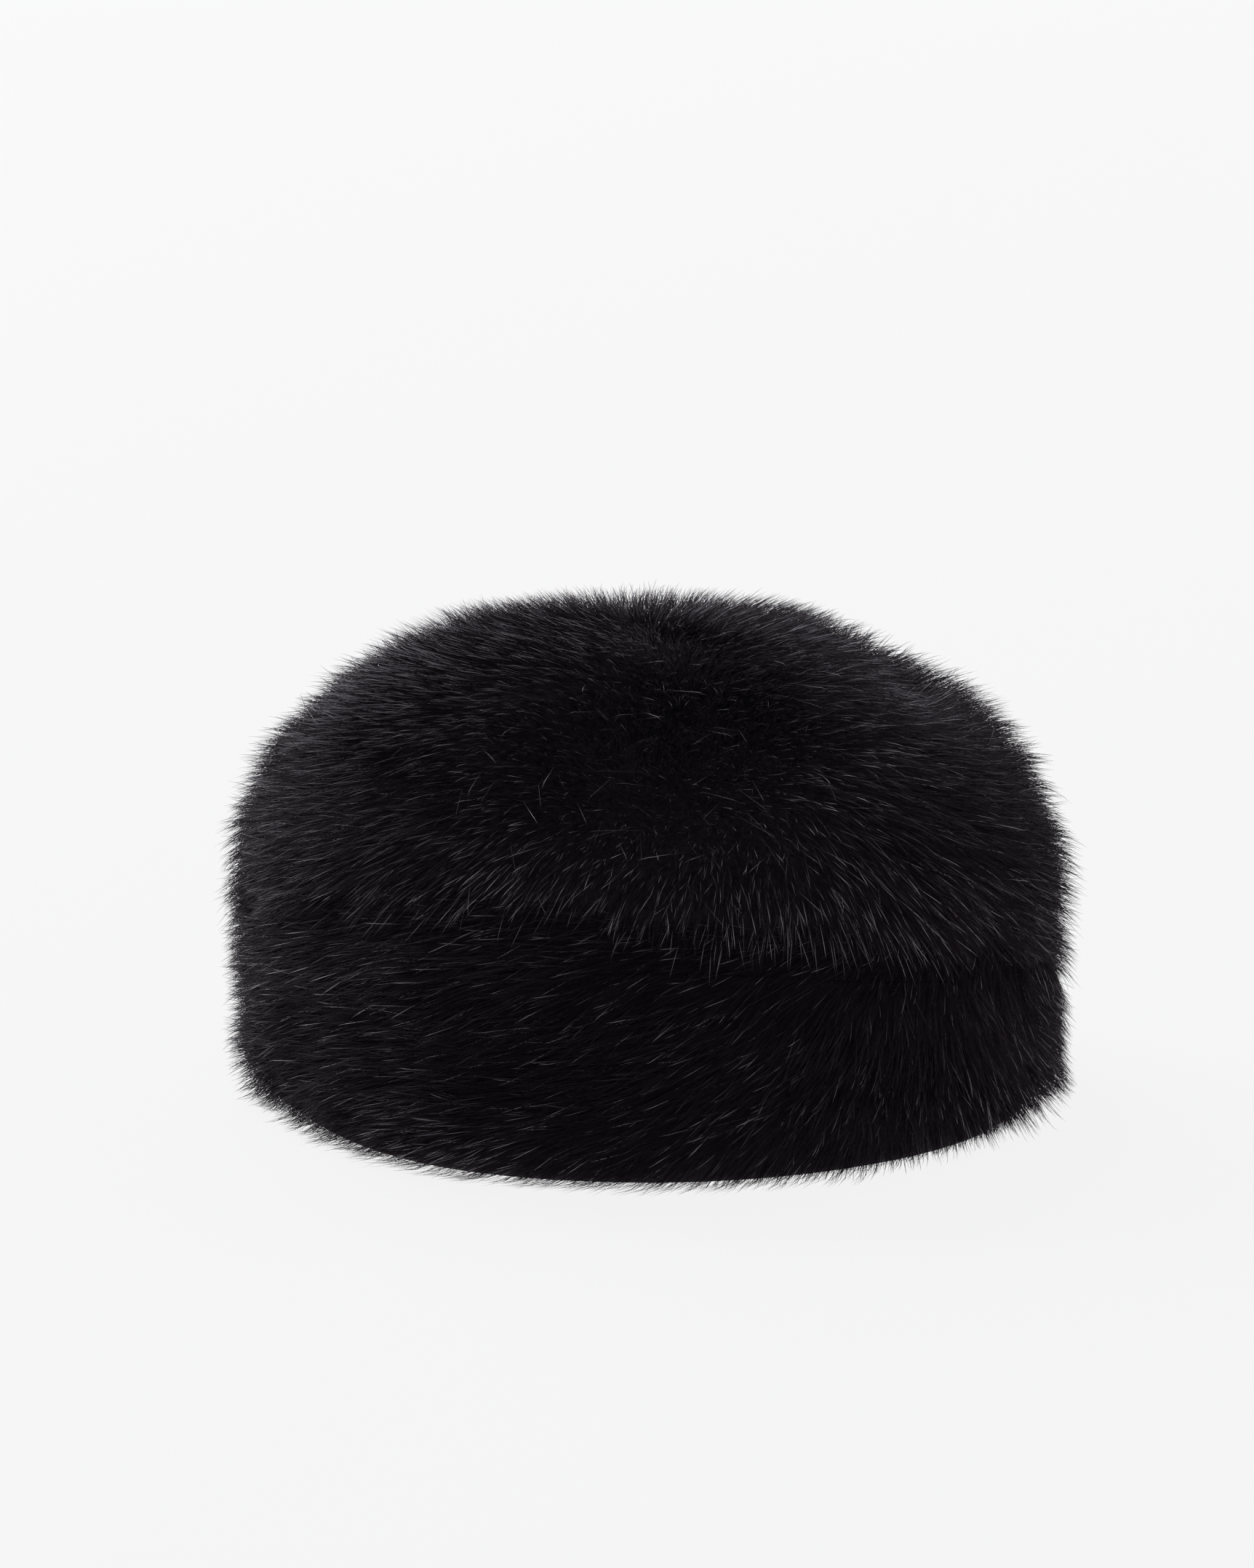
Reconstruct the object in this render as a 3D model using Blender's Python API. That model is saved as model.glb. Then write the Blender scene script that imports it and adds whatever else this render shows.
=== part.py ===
"""A faux fur toque: a crown of long-pile fur cloth, sewn to a band of the same cloth round the head.

Metres, +Z up. The hat rests on its rim at z = 0, and its front faces -Y. A turn is an angle round the hat in
degrees, 0 at the front and 90 at the +X side. A way is the direction in which fur lies, in degrees from
straight down the hat, positive towards greater turns.
"""

import random
from math import cos, exp, hypot, pi, radians, sin, sqrt

import bmesh
import bpy
from mathutils import Vector

# The head and the cloth
HEAD_HALF_WIDTH = 0.087
HEAD_HALF_DEPTH = 0.095
CLOTH = 0.010  # knitted backing with its padding
PILE = 0.0215  # dense fur over the cloth, without the tips of the locks
HEM_ROUND = 0.003  # inner corner of the rim
SEAM_GAP = 0.0003

# The outer form
HEIGHT = 0.1395  # top of the dense fur
SPRING_HEIGHT = 0.061  # where the crown starts to curve in
SEAM_HEIGHT = 0.054  # mean height of the seam between the band and the crown
FOOT_ROUND = 0.014  # lower outer corner of the fur
TUCK = 0.008  # how far the band's fur lies back under the crown's fringe
ROUNDNESS = 2.18  # 2 is an ellipse, more is squarer

# The locks, measured on the fur
LOCK_LENGTH = 0.040
LOCK_HALF_WIDTH = 0.0115
LOCK_RISE = 0.0035  # crest of a lock over the dense fur
LOCK_SINK = 0.006  # how deep its root is set in the dense fur
BAND_LOCK_LENGTH = 0.034
TIP_CLEARANCE = 0.004  # lowest point of the path of a lock's middle, over the ground

# The mesh
COLUMNS = 40
CROWN_RINGS = 7
HOLLOW_RINGS = 5
CORNER_RINGS = 3
PATH_STEPS = 10  # steps along the middle of a lock
SHORTEST_PATH = 4  # steps that a lock takes even where the ground is near
SEED = 7

OUTER_HALF_WIDTH = HEAD_HALF_WIDTH + CLOTH + PILE
OUTER_HALF_DEPTH = HEAD_HALF_DEPTH + CLOTH + PILE
HOLLOW_HEIGHT = HEIGHT - CLOTH - PILE
CROWN_RISE = HEIGHT - SPRING_HEIGHT
CROWN_ARC = pi / 2 * sqrt((OUTER_HALF_WIDTH**2 + CROWN_RISE**2) / 2)  # from the crown's spring to its top

# Height of the seam round the hat, as a share of SEAM_HEIGHT
SEAM = (
    # turn, height
    (-90, 0.98),
    (0, 1.10),
    (70, 0.84),
    (180, 1.00),
)

# Where the band's fur starts to lie back under the fringe, and where it is right back, as shares of height
TUCK_FROM = 0.50
TUCK_TO = 0.92
TUCK_RINGS = (0.12, 0.43, 0.71)  # rings of the mesh on the way between the two

# Dents and swells of the crown, as shares of PILE: a dent is above 0. Up goes from its spring to its top.
CROWN_DENTS = (
    # turn, up, half breadth in turn, half breadth in up, depth
    (78, 0.60, 26, 0.13, 0.30),
    (30, 0.84, 30, 0.10, -0.08),
    (-70, 0.72, 30, 0.16, 0.05),
    (-150, 0.45, 34, 0.18, 0.07),
)

# Dents and swells of the band, as shares of PILE. Up is a share of the way from the rim to the seam.
BAND_DENTS = (
    # turn, up, half breadth in turn, half breadth in up, depth
    (-52, 0.42, 16, 0.30, 0.10),
    (-28, 0.30, 10, 0.25, -0.10),
    (36, 0.55, 12, 0.22, 0.14),
    (150, 0.45, 24, 0.30, 0.08),
)

# How far the lie of one row of the two tables below reaches
WAY_REACH_TURN = 22
WAY_REACH_UP = 0.22

# How the fur lies on the crown
CROWN_WAYS = (
    # turn, up, way
    (-135, 0.1, -50),
    (-90, 0.1, -62),
    (-45, 0.1, -60),
    (-15, 0.1, -25),
    (10, 0.1, 0),
    (35, 0.1, 30),
    (60, 0.1, 55),
    (90, 0.1, 62),
    (135, 0.1, 45),
    (180, 0.1, 0),
    (-90, 0.5, -55),
    (-45, 0.5, -55),
    (0, 0.5, -5),
    (45, 0.5, 45),
    (90, 0.5, 50),
    (180, 0.5, 0),
)

# How the fur lies on the band
BAND_WAYS = (
    # turn, up, way
    (-135, 0.5, -45),
    (-90, 0.5, -62),
    (-45, 0.5, -64),
    (-15, 0.4, -48),
    (12, 0.4, -30),
    (35, 0.3, -4),
    (50, 0.7, 58),
    (62, 0.2, 15),
    (90, 0.5, 55),
    (135, 0.5, 40),
    (180, 0.5, 0),
)

# Rows of locks, from the top down. The lowest row of the crown is the fringe over the seam.
CROWN_ROWS = (
    # up, locks, length as a share of LOCK_LENGTH
    (0.94, 4, 0.70),
    (0.81, 8, 0.90),
    (0.67, 12, 1.00),
    (0.53, 16, 1.00),
    (0.39, 19, 1.00),
    (0.25, 22, 1.00),
    (0.10, 28, 0.95),
)
BAND_ROWS = (
    # up, locks, length as a share of BAND_LOCK_LENGTH
    (0.80, 24, 1.00),
    (0.57, 26, 1.00),
    (0.38, 26, 0.80),
)

# How much the locks differ, as shares: in place along the row, in height of the root, in size, in width
SPREAD_TURN = 0.18
SPREAD_UP = 0.02
SPREAD_SIZE = 0.12
SPREAD_WIDTH = 0.12

# A lock from root to tip: along is a share of its length, width of its half width, the rest of LOCK_RISE
LOCK_SECTIONS = (
    # along, width, height of its middle over the fur, crest over the middle, underside below the middle
    (0.00, 0.50, -LOCK_SINK / LOCK_RISE, 0.50, 0.50),
    (0.34, 1.00, -0.15, 1.15, 0.75),
    (0.72, 0.68, 0.35, 0.65, 0.60),
)
LOCK_TIP = (1.00, 0.80)  # along, height over the fur


def clear_scene():
    for old in list(bpy.data.objects):
        bpy.data.objects.remove(old, do_unlink=True)


def turn_between(a, b):
    """The turn from b to a, from -180 to 180."""
    return (a - b + 180) % 360 - 180


def seam_height(turn):
    """Height of the seam at a turn, eased between the rows of SEAM."""
    below = max(SEAM, key=lambda row: -((turn - row[0]) % 360))
    above = min(SEAM, key=lambda row: (row[0] - turn) % 360 or 360)
    span = (above[0] - below[0]) % 360
    share = (turn - below[0]) % 360 / span
    eased = share * share * (3 - 2 * share)
    return SEAM_HEIGHT * (below[1] + (above[1] - below[1]) * eased)


def dent_at(dents, turn, up):
    """Depth of all dents at a point, as a length."""
    depth = 0
    for dent_turn, dent_up, half_turn, half_up, share in dents:
        away = hypot(turn_between(turn, dent_turn) / half_turn, (up - dent_up) / half_up)
        depth += share * exp(-away * away)
    return depth * PILE


def on_plan(turn, half_width, half_depth, height):
    """A point at a turn on an ellipse round the head."""
    angle = radians(turn)
    return Vector((half_width * sin(angle), -half_depth * cos(angle), height))


def dome(up, rise):
    """Share of the width, and the height over the spring, at a share of the way over a dome."""
    angle = up * pi / 2
    return max(cos(angle), 0.0) ** (2 / ROUNDNESS), rise * sin(angle) ** (2 / ROUNDNESS)


def crown_surface(turn, up):
    """The dense fur of the crown. Below its spring, where up is under 0, it hangs straight down."""
    if up <= 0:
        dent = dent_at(CROWN_DENTS, turn, 0)
        return on_plan(turn, OUTER_HALF_WIDTH - dent, OUTER_HALF_DEPTH - dent, SPRING_HEIGHT + up * CROWN_ARC)
    if up > 1:
        turn, up = turn + 180, 2 - up
    dent = dent_at(CROWN_DENTS, turn, up)
    width, rise = dome(up, CROWN_RISE - dent)
    half_width = (OUTER_HALF_WIDTH - dent) * width
    half_depth = (OUTER_HALF_DEPTH - dent) * width
    return on_plan(turn, half_width, half_depth, SPRING_HEIGHT + rise)


def band_surface(turn, up):
    """The dense fur of the band, from the rim (up 0) to the seam (up 1)."""
    height = up * seam_height(turn)
    inset = dent_at(BAND_DENTS, turn, up)
    if height < FOOT_ROUND:
        inset += FOOT_ROUND - sqrt(FOOT_ROUND**2 - (FOOT_ROUND - height) ** 2)
    under_fringe = min(max((up - TUCK_FROM) / (TUCK_TO - TUCK_FROM), 0), 1)
    inset += TUCK * under_fringe**2 * (3 - 2 * under_fringe)
    return on_plan(turn, OUTER_HALF_WIDTH - inset, OUTER_HALF_DEPTH - inset, height)


def frame_at(surface, turn, up):
    """Unit vectors at a point: towards greater turns, down the hat, and out of the fur."""
    step_turn, step_up = 0.5, 0.01
    across = surface(turn + step_turn, up) - surface(turn - step_turn, up)
    down = surface(turn, up - step_up) - surface(turn, up + step_up)
    out = across.cross(-down).normalized()
    across.normalize()
    return across, across.cross(out).normalized(), out


def way_at(ways, turn, up):
    """The way of the fur at a point, blended between the rows near it."""
    blend = Vector((0, 0))
    for row_turn, row_up, way in ways:
        away = hypot(turn_between(turn, row_turn) / WAY_REACH_TURN, (up - row_up) / WAY_REACH_UP)
        blend += Vector((sin(radians(way)), cos(radians(way)))) * (exp(-away * away) + 1e-9)
    return blend.normalized()


def lock_path(surface, ways, turn, up, length, lowest):
    """Points along the fur from a root, each with its turn and up, following the way of the fur."""
    step = length / PATH_STEPS
    path = [(turn, up)]
    for _ in range(PATH_STEPS):
        across, down, _ = frame_at(surface, turn, up)
        sideways, downwards = way_at(ways, turn, min(max(up, 0), 1))
        flow = across * sideways + down * downwards
        per_turn = (surface(turn + 0.5, up) - surface(turn - 0.5, up)).length
        per_up = (surface(turn, up + 0.005) - surface(turn, up - 0.005)).length / 0.01
        next_up = up - flow.dot(down) * step / per_up
        if next_up < lowest and len(path) > SHORTEST_PATH:
            break
        turn += flow.dot(across) * step / max(per_turn, 1e-5)
        up = max(next_up, lowest)
        path.append((turn, up))
    return path


def point_on(path, along):
    """The turn and up at a share of a path."""
    place = along * (len(path) - 1)
    first = min(int(place), len(path) - 2)
    share = place - first
    (turn_a, up_a), (turn_b, up_b) = path[first], path[first + 1]
    return turn_a + (turn_b - turn_a) * share, up_a + (up_b - up_a) * share


def add_lock(form, surface, path, half_width, rise):
    """One lock: a flat, tapered tuft whose root is set in the dense fur and whose tip stands proud of it."""
    rings = []
    for along, width, middle, crest, under in LOCK_SECTIONS:
        turn, up = point_on(path, along)
        ahead = surface(*point_on(path, min(along + 0.1, 1)))
        behind = surface(*point_on(path, max(along - 0.1, 0)))
        out = frame_at(surface, turn, up)[2]
        side = (ahead - behind).cross(out).normalized() * half_width * width
        centre = surface(turn, up) + out * rise * middle
        ring = (
            centre - side,
            centre + out * rise * crest,
            centre + side,
            centre - out * rise * under,
        )
        rings.append([form.verts.new(point) for point in ring])
    along, height = LOCK_TIP
    turn, up = point_on(path, along)
    tip = form.verts.new(surface(turn, up) + frame_at(surface, turn, up)[2] * rise * height)
    form.faces.new(rings[0][::-1])
    for lower, upper in zip(rings, rings[1:]):
        for k in range(len(lower)):
            n = (k + 1) % len(lower)
            form.faces.new((lower[k], lower[n], upper[n], upper[k]))
    last = rings[-1]
    for k in range(len(last)):
        form.faces.new((last[k], last[(k + 1) % len(last)], tip))


def cut_locks(name, surface, ways, rows, length, lowest, material):
    """All locks of a piece, each a helper object of its own, in one collection."""
    chance = random.Random(SEED)
    tufts = bpy.data.collections.new(name)
    bpy.context.scene.collection.children.link(tufts)
    for row, (up, count, share) in enumerate(rows):
        for k in range(count):
            turn = 360 * (k + row / 2 + chance.uniform(-SPREAD_TURN, SPREAD_TURN)) / count
            size = 1 + chance.uniform(-SPREAD_SIZE, SPREAD_SIZE)
            root = up + chance.uniform(-SPREAD_UP, SPREAD_UP)
            path = lock_path(surface, ways, turn, root, length * share * size, lowest)
            form = bmesh.new()
            half_width = LOCK_HALF_WIDTH * (1 + chance.uniform(-SPREAD_WIDTH, SPREAD_WIDTH))
            add_lock(form, surface, path, half_width, LOCK_RISE * size)
            bmesh.ops.recalc_face_normals(form, faces=form.faces)
            tuft = finish_mesh(form, f"{name}_{row}_{k}", material)
            bpy.context.scene.collection.objects.unlink(tuft)
            tufts.objects.link(tuft)
    return tufts


def add_ring(form, place):
    """A closed ring of points. place gives the point at a turn."""
    return [form.verts.new(place(360 * k / COLUMNS)) for k in range(COLUMNS)]


def bridge(form, first, second):
    """Faces between two rings, facing out where first is the lower ring of an outer wall."""
    for k in range(len(first)):
        n = (k + 1) % len(first)
        form.faces.new((first[k], first[n], second[n], second[k]))


def close_top(form, ring, top):
    """A fan from a ring to one point over it."""
    point = form.verts.new(top)
    for k in range(len(ring)):
        form.faces.new((ring[k], ring[(k + 1) % len(ring)], point))


def finish_mesh(form, name, material):
    """An object from a bmesh, shaded smooth, with its material."""
    mesh = bpy.data.meshes.new(name)
    form.to_mesh(mesh)
    form.free()
    mesh.shade_smooth()
    mesh.materials.append(material)
    made = bpy.data.objects.new(name, mesh)
    bpy.context.scene.collection.objects.link(made)
    return made


def hollow_point(turn, up):
    """The inner face of the crown, over the head."""
    width, rise = dome(up, HOLLOW_HEIGHT - SPRING_HEIGHT)
    return on_plan(turn, HEAD_HALF_WIDTH * width, HEAD_HALF_DEPTH * width, SPRING_HEIGHT + rise)


def crown_wall(material):
    """The crown without its locks: dense fur outside, the back of the cloth inside, the seam's face below."""
    form = bmesh.new()

    def seam_face(turn):
        return seam_height(turn) + SEAM_GAP / 2

    def outer_seam(turn):
        return crown_surface(turn, (seam_face(turn) - SPRING_HEIGHT) / CROWN_ARC)

    def inner_seam(turn):
        return on_plan(turn, HEAD_HALF_WIDTH, HEAD_HALF_DEPTH, seam_face(turn))

    outer = [add_ring(form, outer_seam)]
    for ring in range(1, CROWN_RINGS):
        outer.append(add_ring(form, lambda turn: crown_surface(turn, ring / CROWN_RINGS)))
    inner = [add_ring(form, inner_seam)]
    for ring in range(1, HOLLOW_RINGS):
        inner.append(add_ring(form, lambda turn: hollow_point(turn, ring / HOLLOW_RINGS)))
    for lower, upper in zip(outer, outer[1:]):
        bridge(form, lower, upper)
    for lower, upper in zip(inner, inner[1:]):
        bridge(form, upper, lower)
    bridge(form, inner[0], outer[0])
    close_top(form, outer[-1], crown_surface(0, 1))
    close_top(form, inner[-1], hollow_point(0, 1))
    bmesh.ops.recalc_face_normals(form, faces=form.faces)
    return finish_mesh(form, "crown", material)


def band_wall(material):
    """The band without its locks. Its rim is flat, and its fur rounds in to it at the bottom."""
    form = bmesh.new()

    def inner(turn, height):
        return on_plan(turn, HEAD_HALF_WIDTH, HEAD_HALF_DEPTH, height)

    def rim(inset):
        return lambda turn: on_plan(turn, HEAD_HALF_WIDTH + inset, HEAD_HALF_DEPTH + inset, 0)

    def seam_ring(turn):
        point = band_surface(turn, 1)
        return Vector((point.x, point.y, seam_height(turn) - SEAM_GAP / 2))

    def inner_seam(turn):
        return inner(turn, seam_height(turn) - SEAM_GAP / 2)

    rings = [add_ring(form, inner_seam)]
    rings.append(add_ring(form, lambda turn: inner(turn, HEM_ROUND)))
    rings.append(add_ring(form, rim(HEM_ROUND)))
    for corner in range(CORNER_RINGS + 1):
        height = FOOT_ROUND * (1 - cos(pi / 2 * corner / CORNER_RINGS))
        rings.append(add_ring(form, lambda turn: band_surface(turn, height / seam_height(turn))))
    for share in TUCK_RINGS:
        up = TUCK_FROM + (TUCK_TO - TUCK_FROM) * share
        rings.append(add_ring(form, lambda turn: band_surface(turn, up)))
    rings.append(add_ring(form, seam_ring))
    for first, second in zip(rings, rings[1:]):
        bridge(form, first, second)
    bridge(form, rings[-1], rings[0])
    bmesh.ops.recalc_face_normals(form, faces=form.faces)
    return finish_mesh(form, "band", material)


def fur_material(name, colour, roughness):
    material = bpy.data.materials.new(name)
    material.use_nodes = True
    shader = material.node_tree.nodes["Principled BSDF"]
    shader.inputs["Base Color"].default_value = (*colour, 1)
    shader.inputs["Roughness"].default_value = roughness
    shader.inputs["Metallic"].default_value = 0
    return material


def whole_skins(form):
    """The connected skins of a mesh, each a list of its faces."""
    skins, seen = [], set()
    for face in form.faces:
        if face in seen:
            continue
        skin, ahead = [], [face]
        seen.add(face)
        while ahead:
            here = ahead.pop()
            skin.append(here)
            for edge in here.edges:
                for beside in edge.link_faces:
                    if beside not in seen:
                        seen.add(beside)
                        ahead.append(beside)
        skins.append(skin)
    return skins


def fuse(piece, tufts):
    """Joins a piece's locks to it and to each other, and fills the small pockets shut in between them."""
    joined = piece.modifiers.new("locks", "BOOLEAN")
    joined.operation = "UNION"
    joined.solver = "EXACT"
    joined.operand_type = "COLLECTION"
    joined.collection = tufts
    graph = bpy.context.evaluated_depsgraph_get()
    fused = bpy.data.meshes.new_from_object(piece.evaluated_get(graph))
    piece.modifiers.remove(joined)
    for tuft in list(tufts.objects):
        bpy.data.objects.remove(tuft, do_unlink=True)
    bpy.data.collections.remove(tufts)
    form = bmesh.new()
    form.from_mesh(fused)
    skins = sorted(whole_skins(form), key=len)
    for pocket in skins[:-1]:
        bmesh.ops.delete(form, geom=pocket, context="FACES")
    form.to_mesh(piece.data)
    form.free()
    piece.data.shade_smooth()
    bpy.data.meshes.remove(fused)


def main():
    clear_scene()
    crown_fur = fur_material("crown_fur", (0.0075, 0.0065, 0.0080), 0.75)
    band_fur = fur_material("band_fur", (0.0090, 0.0078, 0.0095), 0.75)
    crown = crown_wall(crown_fur)
    locks = cut_locks("crown_locks", crown_surface, CROWN_WAYS, CROWN_ROWS, LOCK_LENGTH, -1, crown_fur)
    fuse(crown, locks)
    band = band_wall(band_fur)
    lowest = (TIP_CLEARANCE + LOCK_RISE) / SEAM_HEIGHT
    locks = cut_locks("band_locks", band_surface, BAND_WAYS, BAND_ROWS, BAND_LOCK_LENGTH, lowest, band_fur)
    fuse(band, locks)


main()
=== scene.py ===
# %% [markdown]
# # A black faux fur toque
# A toque of this sort is cut from one long-pile fur cloth: a knitted back that carries a dense underfur, a
# pile of fine hair and, over it, glossy guard hairs. A dome of it, the crown, is sewn to a ring of it, the
# band. What one sees is hair, so nearly all of this lesson is about hair: where it is rooted, which way it
# lies, how far it stands up, how it gathers in locks, and how little light it gives back.
#
# The frame is the hat's solids, in metres with +Z up. The hat rests on its rim at z = 0 and faces -Y.

# %% Load the frame
from math import cos, exp, hypot, pi, radians, sin, sqrt

import bmesh
import bpy
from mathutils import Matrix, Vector


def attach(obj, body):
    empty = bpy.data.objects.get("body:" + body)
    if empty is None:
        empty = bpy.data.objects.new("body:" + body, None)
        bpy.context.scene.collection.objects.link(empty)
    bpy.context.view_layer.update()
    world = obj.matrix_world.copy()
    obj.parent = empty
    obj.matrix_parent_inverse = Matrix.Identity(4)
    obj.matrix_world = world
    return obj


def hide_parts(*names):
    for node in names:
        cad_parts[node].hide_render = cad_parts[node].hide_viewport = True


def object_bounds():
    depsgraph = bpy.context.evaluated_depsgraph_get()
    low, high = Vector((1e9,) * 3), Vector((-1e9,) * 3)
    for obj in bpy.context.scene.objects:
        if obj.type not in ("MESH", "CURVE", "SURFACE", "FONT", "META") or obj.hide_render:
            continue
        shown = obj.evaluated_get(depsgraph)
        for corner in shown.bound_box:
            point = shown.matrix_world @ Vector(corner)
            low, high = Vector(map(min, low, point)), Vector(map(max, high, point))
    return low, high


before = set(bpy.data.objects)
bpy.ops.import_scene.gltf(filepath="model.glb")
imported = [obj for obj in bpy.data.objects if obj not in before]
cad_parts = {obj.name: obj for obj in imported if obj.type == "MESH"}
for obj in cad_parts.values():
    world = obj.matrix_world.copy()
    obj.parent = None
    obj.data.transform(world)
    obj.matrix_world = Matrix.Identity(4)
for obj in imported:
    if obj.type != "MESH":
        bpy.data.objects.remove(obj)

cad_low, cad_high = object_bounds()
LOCK_CREST = 0.0035  # how far the locks of the solids stand over their dense fur
half_width = (cad_high.x - cad_low.x) / 2 - LOCK_CREST
half_depth = (cad_high.y - cad_low.y) / 2 - LOCK_CREST
height = cad_high.z - LOCK_CREST
print(f"dense fur: {2 * half_width:.3f} wide, {2 * half_depth:.3f} deep, {height:.3f} high")

# %% [markdown]
# ## The camera
# The hat was photographed from a little above the table, with a long lens, so that its outline is nearly
# that of an elevation drawing. A long lens gives the same flat look here. The picture is upright and the
# hat sits below its middle, so the lens is shifted and the camera still points at the hat.

# %% Place the camera
PHOTO_HEIGHT = 2156  # pixels, the long side
PIXELS_PER_METRE = 4733  # at the middle of the hat
CAMERA_DISTANCE = 1.5
CAMERA_ELEVATION = radians(11.16)
SENSOR = 36.0  # mm, for the long side
AIM = Vector((0, 0, 0.065))  # a point in the middle of the hat
AIM_RIGHT = 29  # pixels, from the middle of the photograph to where it shows that point
AIM_BELOW = 115

lens = bpy.data.cameras.new("camera")
lens.sensor_width = SENSOR
lens.lens = SENSOR * PIXELS_PER_METRE * CAMERA_DISTANCE / PHOTO_HEIGHT
lens.shift_x = -AIM_RIGHT / PHOTO_HEIGHT
lens.shift_y = AIM_BELOW / PHOTO_HEIGHT
camera = bpy.data.objects.new("camera", lens)
back_off = Vector((0, -cos(CAMERA_ELEVATION), sin(CAMERA_ELEVATION)))
camera.location = AIM + back_off * CAMERA_DISTANCE
camera.rotation_euler = (pi / 2 - CAMERA_ELEVATION, 0, 0)
bpy.context.scene.collection.objects.link(camera)
bpy.context.scene.camera = camera
print(f"lens {lens.lens:.1f} mm")

# %% [markdown]
# ## One way to write node maths
# Node trees are drawn in Blender's editors, but long formulas read better as Python. This small class
# wraps an output socket, so that `a * 2 + b` adds the Math nodes for it. Vectors go through Vector Math
# instead, because a Math node would turn them into single numbers. The same class serves the trees of
# shaders and of geometry.

# %% Wrap sockets
class Wire:
    """An output socket of a node tree, with the operators that the formulas below use."""

    def __init__(self, socket):
        self.socket = socket

    @classmethod
    def node(cls, tree, kind, settings=None, sockets=None, output=0):
        """Adds a node: its type, its settings, then the values or wires of its inputs. Gives one output."""
        made = tree.nodes.new(kind)
        for name, value in (settings or {}).items():
            if name == "stops":
                cls.set_stops(made.color_ramp, value)
            else:
                setattr(made, name, value)
        for key, value in (sockets or {}).items():
            if isinstance(value, cls):
                tree.links.new(value.socket, made.inputs[key])
            else:
                made.inputs[key].default_value = value
        return cls(made.outputs[output])

    @staticmethod
    def set_stops(ramp, stops):
        """Sets a colour ramp from rows of position and colour."""
        for position, colour in stops[2:]:
            ramp.elements.new(position)
        for element, (position, colour) in zip(ramp.elements, stops):
            element.position = position
            element.color = (*colour, 1)

    def maths(self, operation, first, second=0.0):
        """The result of an operation on wires or numbers, with Vector Math where one of them is a vector."""
        tree = self.socket.id_data
        vectors = [w for w in (first, second) if isinstance(w, Wire) and w.socket.type == "VECTOR"]
        if not vectors:
            return Wire.node(tree, "ShaderNodeMath", {"operation": operation}, {0: first, 1: second})
        if operation == "MULTIPLY" and len(vectors) == 1:
            scale = second if vectors[0] is first else first
            return Wire.node(tree, "ShaderNodeVectorMath", {"operation": "SCALE"}, {0: vectors[0], 3: scale})
        return Wire.node(tree, "ShaderNodeVectorMath", {"operation": operation}, {0: first, 1: second})

    def __add__(self, other):
        return self.maths("ADD", self, other)

    def __radd__(self, other):
        return self.maths("ADD", other, self)

    def __sub__(self, other):
        return self.maths("SUBTRACT", self, other)

    def __rsub__(self, other):
        return self.maths("SUBTRACT", other, self)

    def __mul__(self, other):
        return self.maths("MULTIPLY", self, other)

    def __rmul__(self, other):
        return self.maths("MULTIPLY", other, self)

    def __truediv__(self, other):
        return self.maths("DIVIDE", self, other)

    def __rtruediv__(self, other):
        return self.maths("DIVIDE", other, self)

    def __pow__(self, other):
        return self.maths("POWER", self, other)

    def least(self, other):
        return self.maths("MINIMUM", self, other)

    def most(self, other):
        return self.maths("MAXIMUM", self, other)

    def sine(self):
        return self.maths("SINE", self)

    def cosine(self):
        return self.maths("COSINE", self)

    def power_of_e(self):
        return self.maths("EXPONENT", self)

    def across(self, other):
        """Cross product."""
        return self.maths("CROSS_PRODUCT", self, other)

    def unit(self):
        tree = self.socket.id_data
        return Wire.node(tree, "ShaderNodeVectorMath", {"operation": "NORMALIZE"}, {0: self})

    def dot(self, other):
        tree = self.socket.id_data
        settings = {"operation": "DOT_PRODUCT"}
        return Wire.node(tree, "ShaderNodeVectorMath", settings, {0: self, 1: other}, "Value")

    def part(self, axis):
        """One component of a vector."""
        return Wire.node(self.socket.id_data, "ShaderNodeSeparateXYZ", None, {0: self}, axis)


# %% [markdown]
# ## The form under the fur
# The dense fur of the hat is a straight-sided ring with a rounded foot, and a dome that is a little
# squarer than an ellipse. Both are written as functions of a turn round the hat, 0 at the front and 90 at
# the +X side, and of a share of the way up. The same functions, pulled in by an inset, give the underfur
# and the cloth that the hairs are rooted in, so all layers stay parallel. Where the crown's fringe hangs
# over the band, the fur lies back in a dark crease. It is deepest at the front right, and at both sides
# the fur closes over it.

# %% Shape the seam
MM_IN_METRE = 1000
SEAM = (
    # turn, height of the seam between the band and the crown
    (-90, 0.0529),
    (0, 0.0594),
    (70, 0.0454),
    (180, 0.0540),
)
MEETING = (
    # turn, height of the crease, depth of it, lowest crown roots and highest band roots over it, in mm
    (-90, 56, 0, -1, 6),
    (-60, 66, 1, 4, 5),
    (-30, 76, 3, 14, 4),
    (-12, 74, 4, 18, 5),
    (2, 68, 5, 18, 5),
    (25, 66, 6, 17, 4),
    (45, 59, 6, 12, 3),
    (60, 53, 2.5, 5, 4),
    (80, 47, 0, -2, 8),
    (110, 47, 0, -2, 8),
    (180, 55, 2, 9, 3),
)
CREASE_BREADTH = 0.009  # from its middle to where it has faded


def eased(share):
    """From 0 to 1 with a soft start and end."""
    share = min(max(share, 0), 1)
    return share * share * (3 - 2 * share)


def value_round(rows, turn, column=1):
    """A value that changes round the hat, eased between the rows of its table."""
    below = max(rows, key=lambda row: -((turn - row[0]) % 360))
    above = min(rows, key=lambda row: (row[0] - turn) % 360 or 360)
    share = (turn - below[0]) % 360 / ((above[0] - below[0]) % 360)
    return below[column] + (above[column] - below[column]) * eased(share)


def crease_at(turn):
    """Height at which the two coats meet."""
    return value_round(MEETING, turn) / MM_IN_METRE


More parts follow.
